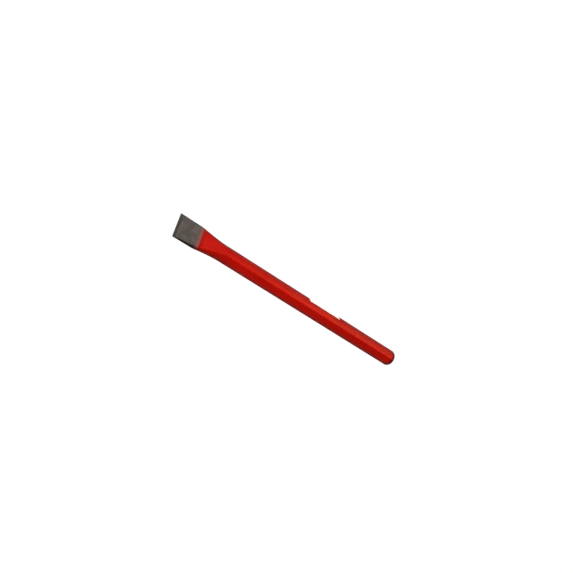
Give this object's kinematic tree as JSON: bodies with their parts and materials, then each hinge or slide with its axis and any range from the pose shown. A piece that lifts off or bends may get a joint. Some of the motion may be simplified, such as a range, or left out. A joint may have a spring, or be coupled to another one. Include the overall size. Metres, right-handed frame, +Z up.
{
  "type": "cold chisel",
  "caption": "Flat cold chisel forged from octagonal bar, with a flared wedge blade, a bare steel edge, a red painted shank and head, and a blank white label.",
  "frame": {"origin": "under the middle of the tool's length, on its centre line, at the underside of the painted flat it lies on", "axes": "+X from the cutting edge to the struck end, +Y across the blade, +Z up, square to the blade's broad faces"},
  "size_m": [0.3, 0.0246, 0.016],
  "materials": {
    "bare_steel": "dull ground grey",
    "red_enamel": "satin enamel",
    "label_film": "matt white, blank"
  },
  "bodies": {
    "root": {"chisel_forging": "bare_steel", "paint_coat": "red_enamel", "label": "label_film"}
  },
  "joints": []
}
